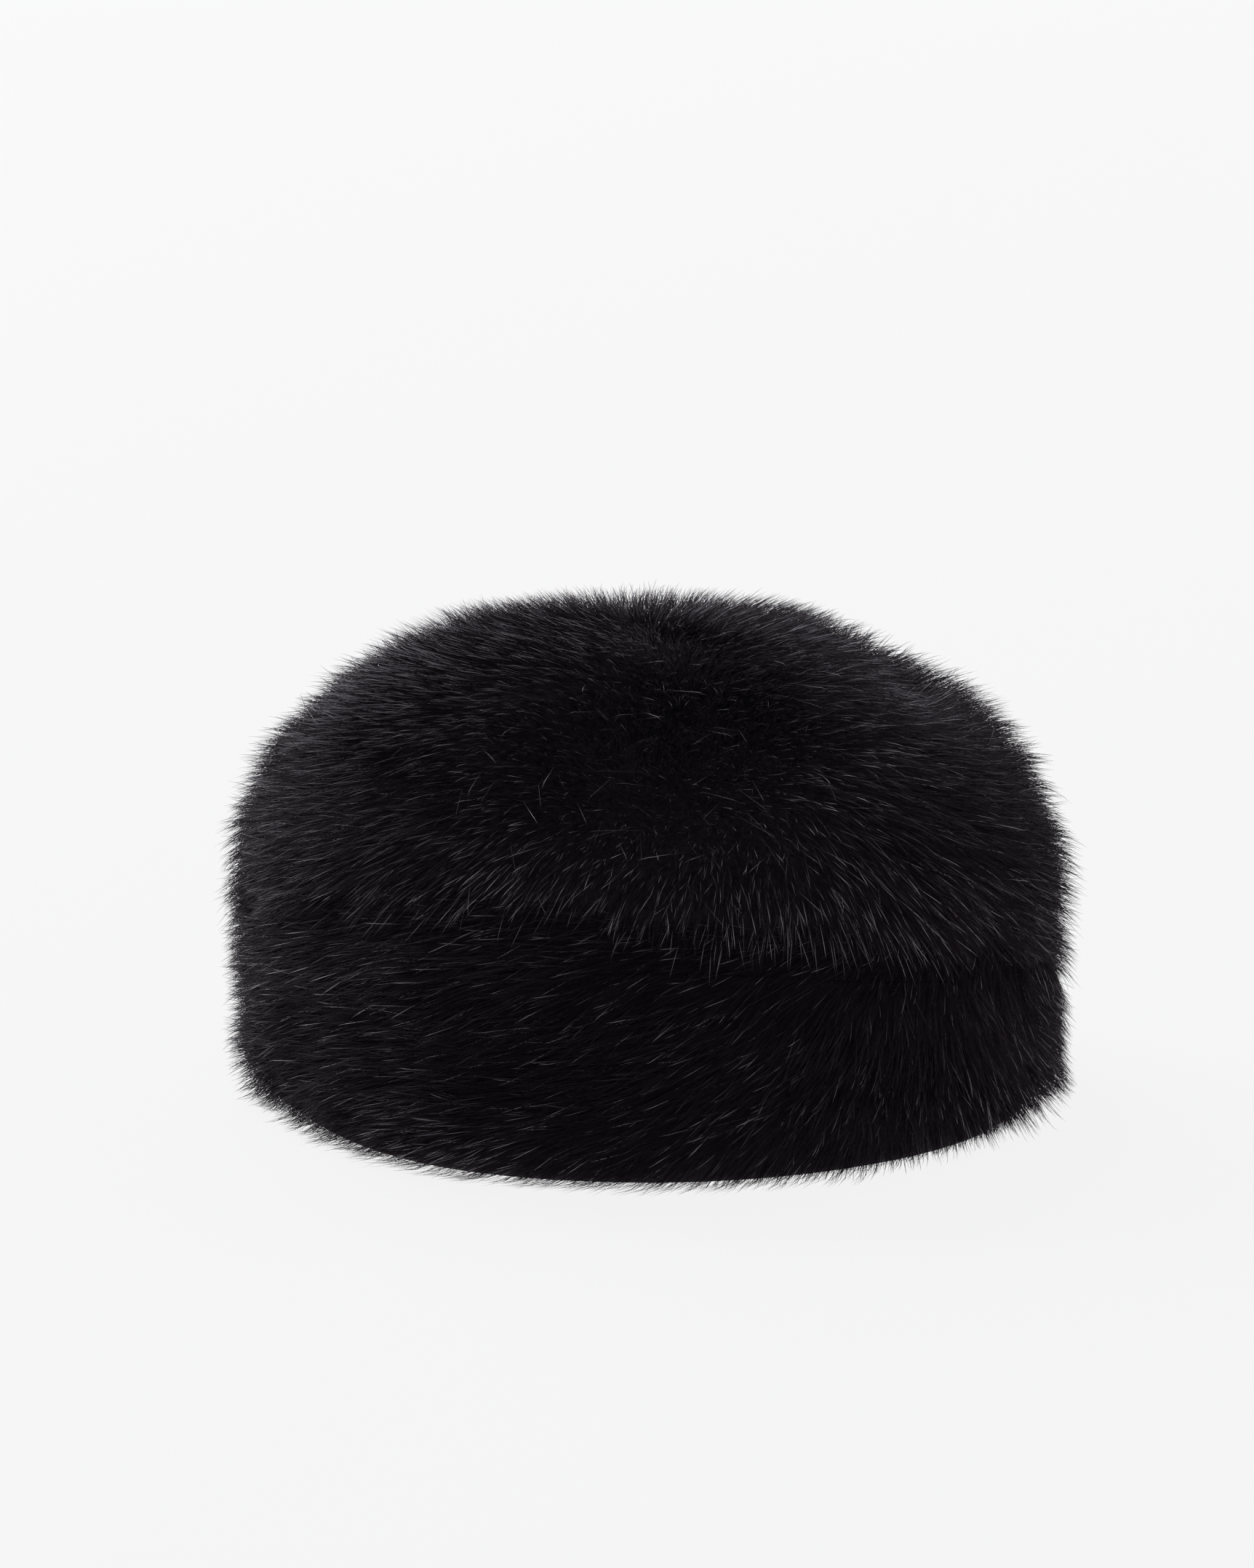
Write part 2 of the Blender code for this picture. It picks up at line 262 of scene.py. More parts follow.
def groove_at(turn, z):
    """How far the fur lies back at the crease."""
    away = (z - crease_at(turn)) / CREASE_BREADTH
    return value_round(MEETING, turn, 2) / MM_IN_METRE * exp(-away * away)


print(f"crease: {crease_at(0):.3f} up at the front, {crease_at(90):.3f} at the +X side")

# %% Shape the crown
SPRING_HEIGHT = 0.061  # where the crown starts to curve in
ROUNDNESS = 2.18  # 2 is an ellipse, more is squarer
CROWN_RISE = height - SPRING_HEIGHT
CROWN_ARC = pi / 2 * sqrt((half_width**2 + CROWN_RISE**2) / 2)  # length from the spring to the top
CROWN_DENTS = (
    # turn, up, half breadth in turn, half breadth in up, depth in mm
    (78, 0.60, 26, 0.13, 7.4),
    (30, 0.84, 30, 0.10, -1.7),
    (56, 0.64, 14, 0.10, -3.0),
    (-85, 0.66, 28, 0.17, -3.4),
    (-88, 0.30, 30, 0.16, -1.8),
    (-150, 0.45, 34, 0.18, 1.5),
)


def turn_between(a, b):
    """The turn from b to a, from -180 to 180."""
    return (a - b + 180) % 360 - 180


def patches_at(patches, turn, up):
    """Sum of all soft patches of a table at a point. Each has its place, its half breadths and its peak."""
    total = 0
    for patch_turn, patch_up, half_turn, half_up, peak in patches:
        away = hypot(turn_between(turn, patch_turn) / half_turn, (up - patch_up) / half_up)
        total += peak * exp(-away * away)
    return total


def on_plan(turn, wide, deep, z):
    """A point at a turn on an ellipse round the head."""
    return Vector((wide * sin(radians(turn)), -deep * cos(radians(turn)), z))


def dome(up, rise):
    """Share of the width, and the height over the spring, at a share of the way over a dome."""
    angle = up * pi / 2
    return max(cos(angle), 0.0) ** (2 / ROUNDNESS), rise * sin(angle) ** (2 / ROUNDNESS)


def crown_surface(turn, up, inset=0.0):
    """The crown's dense fur, or a layer inside it. Below its spring, where up is under 0, it is upright."""
    z = SPRING_HEIGHT + up * CROWN_ARC
    inset += patches_at(CROWN_DENTS, turn, max(up, 0)) / MM_IN_METRE + groove_at(turn, z)
    if up <= 0:
        return on_plan(turn, half_width - inset, half_depth - inset, z)
    wide, rise = dome(up, CROWN_RISE - inset)
    return on_plan(turn, (half_width - inset) * wide, (half_depth - inset) * wide, SPRING_HEIGHT + rise)


print(f"crown: rises {CROWN_RISE:.3f} over {CROWN_ARC:.3f} of arc")

# %% Shape the band
FOOT_ROUND = 0.014  # lower outer corner of the fur
BAND_DENTS = (
    # turn, up, half breadth in turn, half breadth in up, depth in mm
    (-52, 0.42, 16, 0.30, 2.1),
    (-28, 0.30, 10, 0.25, -2.1),
    (36, 0.55, 12, 0.22, 3.0),
    (150, 0.45, 24, 0.30, 1.7),
    (-64, 0.08, 18, 0.28, 3.0),
    (60, 0.08, 22, 0.28, -2.5),
)


def band_surface(turn, up, inset=0.0):
    """The band's dense fur, or a layer inside it, from the rim (up 0) to the seam (up 1)."""
    z = up * value_round(SEAM, turn)
    inset += patches_at(BAND_DENTS, turn, up) / MM_IN_METRE
    if z < FOOT_ROUND:
        inset += FOOT_ROUND - sqrt(FOOT_ROUND**2 - (FOOT_ROUND - z) ** 2)
    inset += groove_at(turn, z)
    return on_plan(turn, half_width - inset, half_depth - inset, z)


print(f"band: {value_round(SEAM, 0):.3f} high at the front, {value_round(SEAM, 180):.3f} at the back")

# %% [markdown]
# ## The underfur and the cloth
# Between the hairs one looks into the underfur, which is so fine and dense that it shows as a soft dark
# surface. It is modelled as the outer face of a thick closed shell. The inner face of the same shell is
# the knitted back of the cloth, round the hollow for the head. Rings of points, bridged one to the next,
# make both.

# %% Write the steps that make a shell
COLUMNS = 120  # points of a ring
SHARP_FROM = radians(50)  # a bend over this angle is shaded as an edge


def ring_of(form, place):
    """A closed ring of points. place gives the point at a turn."""
    return [form.verts.new(place(360 * k / COLUMNS)) for k in range(COLUMNS)]


def bridge_rings(form, rings, finish):
    """Faces between each ring and the next. finish is the number of their material."""
    for first, second in zip(rings, rings[1:]):
        for k in range(COLUMNS):
            n = (k + 1) % COLUMNS
            form.faces.new((first[k], first[n], second[n], second[k])).material_index = finish


def close_ring(form, ring, top, finish):
    """A fan from a ring to one point."""
    point = form.verts.new(top)
    for k in range(COLUMNS):
        form.faces.new((ring[k], ring[(k + 1) % COLUMNS], point)).material_index = finish


def finish_shell(form, name):
    """A mesh object from a closed form, shaded smooth, with its faces pointing out."""
    bmesh.ops.recalc_face_normals(form, faces=form.faces)
    mesh = bpy.data.meshes.new(name)
    form.to_mesh(mesh)
    form.free()
    mesh.shade_smooth()
    mesh.set_sharp_from_angle(angle=SHARP_FROM)
    shell = bpy.data.objects.new(name, mesh)
    bpy.context.scene.collection.objects.link(shell)
    print(f"{name}: {len(mesh.polygons)} faces")
    return shell


# %% Make the crown's shell
HEAD_HALF_WIDTH = 0.087
HEAD_HALF_DEPTH = 0.095
HOLLOW_RISE = 0.047  # of the hollow over the spring
UNDERFUR_INSET = 0.0060  # from the dense fur down to the underfur
SEAM_GAP = 0.0003  # between the crown and the band
CROWN_RINGS = 26
HOLLOW_RINGS = 16


def hollow_point(turn, up):
    """The inner face of the crown, over the head."""
    wide, rise = dome(up, HOLLOW_RISE)
    return on_plan(turn, HEAD_HALF_WIDTH * wide, HEAD_HALF_DEPTH * wide, SPRING_HEIGHT + rise)


def crown_seam_up(turn):
    """Where the crown's seam is, as the share up that crown_surface takes."""
    return (value_round(SEAM, turn) + SEAM_GAP / 2 - SPRING_HEIGHT) / CROWN_ARC


form = bmesh.new()
outer = []
for k in range(CROWN_RINGS):
    share = k / CROWN_RINGS
    outer.append(ring_of(form, lambda turn: crown_surface(
        turn, crown_seam_up(turn) * (1 - share) + share, UNDERFUR_INSET)))
inner = [ring_of(form, lambda turn: on_plan(
    turn, HEAD_HALF_WIDTH, HEAD_HALF_DEPTH, value_round(SEAM, turn) + SEAM_GAP / 2))]
for k in range(1, HOLLOW_RINGS):
    inner.append(ring_of(form, lambda turn: hollow_point(turn, k / HOLLOW_RINGS)))
bridge_rings(form, outer, 0)
close_ring(form, outer[-1], crown_surface(0, 1, UNDERFUR_INSET), 0)
bridge_rings(form, [inner[0], outer[0]], 1)
bridge_rings(form, inner, 1)
close_ring(form, inner[-1], hollow_point(0, 1), 1)
crown_underfur = finish_shell(form, "crown_underfur")

# %% Make the band's shell
HEM_ROUND = 0.003  # inner corner of the rim
BAND_RINGS = 14
FOOT_RINGS = 5
RIM_START = 0.3  # how far the underfur's inset has come up already at the rim, before its ease
form = bmesh.new()
wall = [
    ring_of(form, lambda turn: on_plan(
        turn, HEAD_HALF_WIDTH, HEAD_HALF_DEPTH, value_round(SEAM, turn) - SEAM_GAP / 2)),
    ring_of(form, lambda turn: on_plan(turn, HEAD_HALF_WIDTH, HEAD_HALF_DEPTH, HEM_ROUND)),
    ring_of(form, lambda turn: on_plan(turn, HEAD_HALF_WIDTH + HEM_ROUND, HEAD_HALF_DEPTH + HEM_ROUND, 0)),
]
outer = []
for k in range(FOOT_RINGS + 1):
    z = FOOT_ROUND * (1 - cos(pi / 2 * k / FOOT_RINGS))
    inset = UNDERFUR_INSET * eased(z / FOOT_ROUND + RIM_START)
    outer.append(ring_of(form, lambda turn: band_surface(turn, z / value_round(SEAM, turn), inset)))
for k in range(1, BAND_RINGS + 1):
    share = k / BAND_RINGS

    def place(turn):
        low = FOOT_ROUND / value_round(SEAM, turn)
        high = 1 - SEAM_GAP / 2 / value_round(SEAM, turn)
        return band_surface(turn, low + (high - low) * share, UNDERFUR_INSET)

    outer.append(ring_of(form, place))
bridge_rings(form, wall, 1)
bridge_rings(form, [wall[-1], outer[0]], 0)
bridge_rings(form, outer, 0)
bridge_rings(form, [outer[-1], wall[0]], 1)
band_underfur = finish_shell(form, "band_underfur")

# %% [markdown]
# ## How the fur lies
# Combed fur has a direction at each place, and that direction is what gives this hat its look. It is
# brushed away from the front to both sides, hangs down as a fringe over the seam, and swirls at the band's
# front right. On the upper front of the crown it stands and points at the viewer, who looks between the
# hairs into the dark. A few dozen listed rows say so. Each gives a place, a way (degrees from
# straight down, positive towards greater turns), and how far the tips lift from the cloth. Between the
# rows the values are blended by how near each row is.

# %% Comb the crown
CROWN_COMB = (
    # turn, up, way, lift
    (-135, 0.08, -50, 6),
    (-100, 0.08, -66, 5),
    (-70, 0.08, -60, 5),
    (-45, 0.10, -62, 5),
    (-28, 0.14, -18, 6),
    (-12, 0.14, -14, 6),
    (4, 0.14, -16, 6),
    (20, 0.14, -22, 6),
    (34, 0.12, 28, 6),
    (48, 0.08, 50, 6),
    (64, 0.06, 62, 6),
    (85, 0.06, 60, 6),
    (115, 0.08, 56, 6),
    (150, 0.08, 36, 6),
    (180, 0.08, 0, 6),
    (-110, 0.35, -66, 6),
    (-70, 0.35, -68, 6),
    (-48, 0.35, -56, 8),
    (-32, 0.32, -40, 15),
    (-16, 0.32, -10, 50),
    (2, 0.32, -14, 58),
    (18, 0.32, -24, 52),
    (32, 0.32, 4, 26),
    (46, 0.35, 66, 8),
    (68, 0.35, 70, 6),
    (105, 0.35, 64, 6),
    (145, 0.35, 42, 8),
    (180, 0.35, 0, 8),
    (-145, 0.35, -42, 8),
    (-80, 0.60, -60, 8),
    (-52, 0.60, -72, 8),
    (-38, 0.56, 24, 30),
    (-20, 0.54, 20, 40),
    (4, 0.54, 0, 42),
    (24, 0.54, -24, 40),
    (38, 0.56, -34, 34),
    (60, 0.62, 68, 8),
    (85, 0.62, 40, 8),
    (125, 0.62, 50, 10),
    (180, 0.62, 0, 14),
    (-130, 0.62, -50, 10),
    (-85, 0.78, -66, 6),
    (-45, 0.78, -84, 16),
    (-26, 0.76, 26, 25),
    (4, 0.75, 0, 27),
    (24, 0.74, -26, 26),
    (44, 0.78, -36, 24),
    (74, 0.82, 50, 12),
    (120, 0.82, 40, 20),
    (180, 0.82, 0, 14),
    (-130, 0.82, -40, 20),
    (-90, 0.92, -60, 12),
    (-30, 0.92, 10, 19),
    (5, 0.92, -10, 19),
    (30, 0.92, -20, 19),
    (90, 0.92, 0, 16),
    (180, 0.92, 0, 20),
    (0, 1.0, -20, 35),
    (120, 1.0, -20, 50),
    (-120, 1.0, -20, 50),
)
COMB_REACH_TURN = 14  # how far the say of one row reaches, in degrees and as a share up
COMB_REACH_UP = 0.12
NARROWEST = 0.15  # near the top of the dome, turns count for no less than this share of a turn at the spring
FAINT = 1e-9  # the say of a far row, so that no place is left without any


def comb_at(rows, turn, up):
    """Sideways and downward parts of the way, then the lift, blended between the rows."""
    total, sideways, downwards, lift = 0, 0, 0, 0
    narrow = max(cos(min(max(up, 0), 1) * pi / 2), NARROWEST)
    for row_turn, row_up, way, row_lift in rows:
        apart = turn_between(turn, row_turn) * narrow / COMB_REACH_TURN
        near = exp(-hypot(apart, (up - row_up) / COMB_REACH_UP) ** 2) + FAINT
        total += near
        sideways += near * sin(radians(way))
        downwards += near * cos(radians(way))
        lift += near * row_lift
    return sideways, downwards, lift / total


print(f"crown: combed by {len(CROWN_COMB)} rows")

# %% Comb the band
BAND_COMB = (
    # turn, up, way, lift
    (-140, 0.90, -48, 6),
    (-105, 0.90, -68, 6),
    (-75, 0.90, -80, 8),
    (-45, 0.95, -98, 8),
    (-22, 0.95, -68, 8),
    (0, 0.90, -80, 8),
    (18, 0.90, -84, 8),
    (34, 0.90, -80, 10),
    (46, 0.90, 60, 30),
    (60, 0.90, 80, 8),
    (82, 0.90, 48, 6),
    (115, 0.90, 54, 6),
    (150, 0.90, 36, 6),
    (180, 0.90, 0, 6),
    (-140, 0.48, -46, 6),
    (-105, 0.48, -64, 6),
    (-75, 0.48, -76, 6),
    (-50, 0.48, -66, 6),
    (-28, 0.48, -80, 8),
    (-12, 0.48, -98, 8),
    (6, 0.48, -66, 8),
    (20, 0.48, -84, 12),
    (34, 0.48, -32, 30),
    (48, 0.48, -60, 36),
    (60, 0.48, 30, 24),
    (84, 0.48, 62, 6),
    (115, 0.48, 54, 6),
    (150, 0.48, 34, 6),
    (180, 0.48, 0, 6),
    (-140, 0.12, -40, 8),
    (-105, 0.12, -58, 8),
    (-75, 0.12, -60, 2),
    (-50, 0.12, -56, 2),
    (-28, 0.12, -72, 10),
    (-12, 0.12, -74, 10),
    (4, 0.12, -54, 10),
    (20, 0.12, -42, 10),
    (36, 0.12, -30, 12),
    (52, 0.12, -24, 34),
    (66, 0.12, 10, 36),
    (86, 0.12, 50, 28),
    (115, 0.12, 50, 8),
    (150, 0.12, 30, 8),
    (180, 0.12, 0, 8),
)
print(f"band: combed by {len(BAND_COMB)} rows")

# %% [markdown]
# ## Where the fur is painted lighter or darker
# Soft patches, in the same form as the dents above, raise or lower the tone of the hairs by place. A
# raised tone gives more hairs light tips and makes them smoother: painted sheen, with some real gloss. A
# lowered tone is painted shade. On this hat the crown's left, its fringe and the band's left foot get
# painted sheen, and the middle of the front and the right of the band get painted shade.

# %% Paint sheen and shade on the fur, and gloss it
CROWN_GLOSS_AND_PAINTED_LIGHT = (
    # turn, up, half breadth in turn, half breadth in up, change of the tone: painted sheen and gloss over 0,
    # painted shade under 0
    (14, 0.55, 34, 0.26, -0.18),
    (-66, 0.60, 26, 0.18, 0.45),
    (-10, 0.86, 50, 0.10, 0.22),
    (72, 0.66, 16, 0.09, 0.25),
    (55, 0.22, 18, 0.14, -0.10),
    (2, 0.15, 34, 0.11, 0.34),
    (32, 0.70, 14, 0.10, -0.15),
)
BAND_GLOSS_AND_PAINTED_LIGHT = (
    # turn, up, half breadth in turn, half breadth in up, change of the tone: painted sheen and gloss over 0,
    # painted shade under 0
    (41, 0.90, 22, 0.25, -0.24),
    (-3, 0.55, 16, 0.30, -0.06),
    (38, 0.42, 18, 0.30, -0.10),
    (-20, 0.18, 13, 0.20, 0.24),
)
# The factor on the tone in the middle of the front, under 1: painted shade
print(f"shine in the middle of the front: {1 + patches_at(CROWN_GLOSS_AND_PAINTED_LIGHT, 14, 0.55):.2f}")

# %% [markdown]
# ## The cloth that the hairs are rooted in
# Hair needs a surface to grow from. These skins are open grids just under the underfur, one for each
# sector of the hat. Each point of them stores which way is out, which way its hair lies, how far it lifts,
# how long it may be, and how far its tone is raised or lowered: painted sheen or painted shade, with some
# gloss. They only guide the Geometry Nodes tree below and are removed after it has run. In front, the
# crown's skin ends above the seam, so that its lowest hairs hang over the seam as a fringe.

# %% Make the skins
ROOT_INSET = 0.0075  # from the dense fur down to the roots
UNDER_FRINGE = 0.65  # length of the band's highest hairs, as a share of the others'
UNDER_DEPTH = 0.012  # below these, where the hairs have their full length
HANG = 0.015  # how far a whole hair hangs down
SHORTEST = 0.6  # of the hairs at the rim, as a share of the others' length
FLATTEST = 0.1  # least share of its length by which a hair is taken to hang down
SKIN_STEP = 3.0  # degrees
SKIN_RINGS = 24
HIGHEST = 0.985  # above this share up, directions are those at it, because they end at the very top
NEAR_TURN = 0.5  # degrees to each side, and share up and down, between which directions are measured
NEAR_UP = 0.01


def out_at(surface, turn, up):
    """Unit vectors at a point of a surface: towards greater turns, down the hat, and out."""
    along = surface(turn + NEAR_TURN, up) - surface(turn - NEAR_TURN, up)
    down = surface(turn, up - NEAR_UP) - surface(turn, up + NEAR_UP)
    out = along.cross(-down).normalized()
    along.normalize()
    return along, along.cross(out).normalized(), out


def make_skin(name, surface, comb, sheen, edges, turn_from, turn_to):
    """An open grid over part of a surface. edges give its lower and upper edge at a turn."""
    low_up, high_up = edges
    mesh = bpy.data.meshes.new(name)
    columns = round((turn_to - turn_from) / SKIN_STEP)
    points, faces, outs, lies, lifts, reaches, glosses_and_painted_lights = [], [], [], [], [], [], []
    for i in range(columns + 1):
        turn = turn_from + (turn_to - turn_from) * i / columns
        for k in range(SKIN_RINGS + 1):
            up = low_up(turn) + (high_up(turn) - low_up(turn)) * k / SKIN_RINGS
            along, down, out = out_at(surface, turn, min(up, HIGHEST))
            sideways, downwards, lift = comb_at(comb, turn, up)
            points.append(surface(turn, up, ROOT_INSET))
            outs.extend(out)
            lies.extend((along * sideways + down * downwards).normalized())
            lifts.append(radians(lift))
            glosses_and_painted_lights.append(1 + patches_at(sheen, turn, up))
            drop = HANG * max(downwards / hypot(sideways, downwards), FLATTEST)
            reach = min(max(points[-1].z / drop, SHORTEST), 1)
            if surface is band_surface:
                below = eased((high_up(turn) - up) * value_round(SEAM, turn) / UNDER_DEPTH)
                reach *= UNDER_FRINGE + (1 - UNDER_FRINGE) * below
            reaches.append(reach)
    for i in range(columns):
        for k in range(SKIN_RINGS):
            a = i * (SKIN_RINGS + 1) + k
            b = a + SKIN_RINGS + 1
            faces.append((a, b, b + 1, a + 1))
    mesh.from_pydata(points, [], faces)
    for label, kind, key, values in (
        ("out", "FLOAT_VECTOR", "vector", outs),
        ("lie", "FLOAT_VECTOR", "vector", lies),
        ("lift", "FLOAT", "value", lifts),
        ("reach", "FLOAT", "value", reaches),
        ("sheen", "FLOAT", "value", glosses_and_painted_lights),
    ):
        mesh.attributes.new(label, kind, "POINT").data.foreach_set(key, values)
    skin = bpy.data.objects.new(name, mesh)
    bpy.context.scene.collection.objects.link(skin)
    return skin


print(f"hairs are rooted {MM_IN_METRE * ROOT_INSET:.1f} mm under the dense fur")

# %% [markdown]
# ## One hair
# A hair is a needle of three sides, closed at both ends: one point at the root, one or two rings, one
# point at the tip. That is 6 or 12 triangles, so that a hundred thousand of them stay a mesh that any
# program can open. The needle only carries labels here: each of its points knows how far along the hair it
# is and on which side, and the tree below bends it into place.

# %% Make the needles
def make_needle(name, rings):
    """A needle from rings of (share along, thickness). Its points store along, and around, their side."""
    alongs, arounds, faces = [0.0], [(0, 0, 0)], []
    for along, thick in rings:
        for side in range(3):
            angle = 2 * pi * side / 3
            alongs.append(along)
            arounds.append((thick * cos(angle), thick * sin(angle), 0))
    alongs.append(1.0)
    arounds.append((0, 0, 0))
    tip = len(alongs) - 1
    for side in range(3):
        n = (side + 1) % 3
        faces.append((0, 1 + n, 1 + side))
        for ring in range(len(rings) - 1):
            a, b = 1 + 3 * ring, 4 + 3 * ring
            faces.append((a + side, a + n, b + n))
            faces.append((a + side, b + n, b + side))
        last = tip - 3
        faces.append((last + side, last + n, tip))
    mesh = bpy.data.meshes.new(name)
    mesh.from_pydata([(x, y, t) for t, (x, y, z) in zip(alongs, arounds)], [], faces)
    mesh.attributes.new("along", "FLOAT", "POINT").data.foreach_set("value", alongs)
    flat = [value for point in arounds for value in point]
    mesh.attributes.new("around", "FLOAT_VECTOR", "POINT").data.foreach_set("vector", flat)
    needle = bpy.data.objects.new(name, mesh)
    bpy.context.scene.collection.objects.link(needle)
    print(f"{name}: {len(faces)} triangles")
    return needle


pile_needle = make_needle("pile_needle", [(0.7, 1.0)])
guard_needle = make_needle("guard_needle", [(0.45, 1.0), (0.88, 0.7)])

# %% [markdown]
# ## The fur tree
# Geometry Nodes scatter roots over a skin, put a needle on each, and then move every point of every needle
# by one formula. A hair leaves the cloth steeply and bends over towards the way it is combed, so its
# direction turns from a root angle to a tip angle. Neighbouring tips are drawn together into locks, by the
# cell that each root lies in, and a slow noise gives the locks their waves. Standing hairs are more alike
# than lying ones. Near the table the tips are eased up, so that none sinks into it.

# %% Name what the tree asks for
FUR_INPUTS = (
    # name, socket type
    ("Skin", "NodeSocketGeometry"),
    ("Needle", "NodeSocketObject"),
    ("Finish", "NodeSocketMaterial"),
    ("Density", "NodeSocketFloat"),  # hairs on a square metre
    ("Seed", "NodeSocketInt"),
    ("Length", "NodeSocketFloat"),  # of a lying hair
    ("Depth", "NodeSocketFloat"),  # of the coat, which keeps standing hairs shorter
    ("Width", "NodeSocketFloat"),  # of a hair
    ("Lock Size", "NodeSocketFloat"),
    ("Lock Pull", "NodeSocketFloat"),  # how far the tips of a lock are drawn together, as a share
    ("Lock Tone", "NodeSocketFloat"),  # how far the hairs of a lock have one tone, as a share
    # The next one raises the tones: more hair tips get light colours, painted glints, and the hairs get
    # smoother
    ("Shine", "NodeSocketFloat"),  # how much the tones are raised
    ("Wave", "NodeSocketFloat"),  # how far the slow noise turns a hair's way
    ("Stray", "NodeSocketFloat"),  # how far chance turns it
    ("Lift Spread", "NodeSocketFloat"),  # how far chance changes a hair's lift
    ("Lift Wave", "NodeSocketFloat"),  # how far the slow noise changes it
    ("Droop", "NodeSocketFloat"),  # how far the tip of a standing hair bends down again
)
ROOT_RISE = radians(26)  # how much steeper than its tip a lying hair leaves the cloth
STANDING_CALM = 0.9  # standing hairs are more alike in lift than lying ones, by this share
LEAST_STANDING = 0.05  # height over length of the flattest hair, which keeps its length finite
SHORTEST_HAIR = 0.6  # of a coat, as a share of its length
LENGTH_SPREAD = 0.6  # from the shortest hair to the longest
STRAY_LYING = 0.55  # how far the ways of lying hairs differ, and how much more those of standing ones
STRAY_STANDING = 0.9
LOCK_CURVE = 1.5  # over 1, the tips gather in locks more than the middles do
WAVE_BEND = 0.12  # how far a wave moves a tip, as a share of its length
WAVE_SIZE = 0.018
FLOOR_EASE = 0.004  # tips nearer to the table than this are eased up
CHART_EDGE = 0.01  # of the chart that stays free along each side
print(f"the tree asks for {len(FUR_INPUTS)} things")

# %% Build the tree
def fur_tree():
    """The tree that grows a coat of hair on a skin."""
    tree = bpy.data.node_groups.new("fur", "GeometryNodeTree")
    for name, kind in FUR_INPUTS:
        tree.interface.new_socket(name, in_out="INPUT", socket_type=kind)
    tree.interface.new_socket("Fur", in_out="OUTPUT", socket_type="NodeSocketGeometry")
    given = tree.nodes.new("NodeGroupInput")
    asked = {name: Wire(given.outputs[name]) for name, kind in FUR_INPUTS}

    def node(kind, settings=None, sockets=None, output=0):
        return Wire.node(tree, kind, settings, sockets, output)

    def stored(name, kind="FLOAT"):
        return node("GeometryNodeInputNamedAttribute", {"data_type": kind}, {"Name": name})

    def store(geometry, name, value, kind="FLOAT", domain="POINT"):
        settings = {"data_type": kind, "domain": domain}
        sockets = {"Geometry": geometry, "Name": name, "Value": value}
        return node("GeometryNodeStoreNamedAttribute", settings, sockets)

    def chance(seed_step):
        sockets = {2: 0.0, 3: 1.0, "Seed": asked["Seed"] + seed_step}
        return node("FunctionNodeRandomValue", {"data_type": "FLOAT"}, sockets, 1)

    # Roots, each with its chances, and a needle on each
    roots = node("GeometryNodeDistributePointsOnFaces", {"distribute_method": "RANDOM"},
                 {"Mesh": asked["Skin"], "Density": asked["Density"], "Seed": asked["Seed"]})
    roots = store(roots, "root", node("GeometryNodeInputPosition"), "FLOAT_VECTOR")
    for step, name in enumerate(("tone", "chance_lift", "chance_length", "chance_way"), start=1):
        roots = store(roots, name, chance(step))
    needle = node("GeometryNodeObjectInfo", None, {"Object": asked["Needle"]}, "Geometry")
    hairs = node("GeometryNodeInstanceOnPoints", None, {"Points": roots, "Instance": needle})
    hairs = node("GeometryNodeRealizeInstances", None, {"Geometry": hairs})

    # How far a hair lifts at its root and at its tip, and how long it is
    root, out, lie = (stored(name, "FLOAT_VECTOR") for name in ("root", "out", "lie"))
    along, around = stored("along"), stored("around", "FLOAT_VECTOR")
    waves = {"Vector": root, "Scale": 1 / WAVE_SIZE, "Detail": 2.0}
    noise = node("ShaderNodeTexNoise", None, waves, "Color")
    wave = node("ShaderNodeVectorMath", {"operation": "SUBTRACT"}, {0: noise, 1: (0.5, 0.5, 0.5)})
    calm = 1.0 - stored("lift").sine() * STANDING_CALM
    unlike = (stored("chance_lift") - 0.5) * asked["Lift Spread"] + wave.part("Y") * asked["Lift Wave"]
    lift = stored("lift") + unlike * calm
    root_angle = lift + lift.cosine().most(0.0) * ROOT_RISE
    tip_angle = lift - lift.sine() * asked["Droop"]
    standing = ((tip_angle + root_angle) * 0.5).sine().most(LEAST_STANDING)
    length = asked["Length"].least(asked["Depth"] / standing)
    length = length * (stored("chance_length") * LENGTH_SPREAD + SHORTEST_HAIR) * stored("reach")

    # Its way, turned a little by the wave and by chance
    side = lie.across(out)
    stray = asked["Stray"] * (lift.sine().most(0.0) * STRAY_STANDING + STRAY_LYING)
    turned = wave.part("X") * asked["Wave"] + (stored("chance_way") - 0.5) * stray
    lie = (lie + side * turned).unit()
    side = lie.across(out)

    # Its direction turns evenly from root to tip, and the chord to a point has half of the turn so far
    chord = root_angle + (tip_angle - root_angle) * along * 0.5
    tangent = root_angle + (tip_angle - root_angle) * along
    reached = length * along
    place = root + lie * (reached * chord.cosine()) + out * (reached * chord.sine())

    # Its tip is drawn to the middle of its lock and moved by the wave
    locks = {"Vector": root, "Scale": 1.0 / asked["Lock Size"]}
    cell = node("ShaderNodeTexVoronoi", None, locks, "Position")
    lock_chance = node("ShaderNodeTexVoronoi", None, locks, "Color").part("X")
    to_lock = cell - root
    to_lock = to_lock - out * to_lock.dot(out)
    place = place + to_lock * (asked["Lock Pull"] * along ** LOCK_CURVE)
    place = place + wave * (length * along ** 2 * WAVE_BEND)

    # Its sides stand off from its middle line
    breadth = asked["Width"] * 0.5
    upright = out * tangent.cosine() - lie * tangent.sine()
    place = place + side * (around.part("X") * breadth) + upright * (around.part("Y") * breadth)

    # Near the table it is eased up
    z = place.part("Z")
    eased_z = (z.least(FLOOR_EASE) / FLOOR_EASE - 1.0).power_of_e() * FLOOR_EASE + (z - FLOOR_EASE).most(0.0)
    place = node("ShaderNodeCombineXYZ", None, {"X": place.part("X"), "Y": place.part("Y"), "Z": eased_z})

    hairs = node("GeometryNodeSetPosition", None, {"Geometry": hairs, "Position": place})
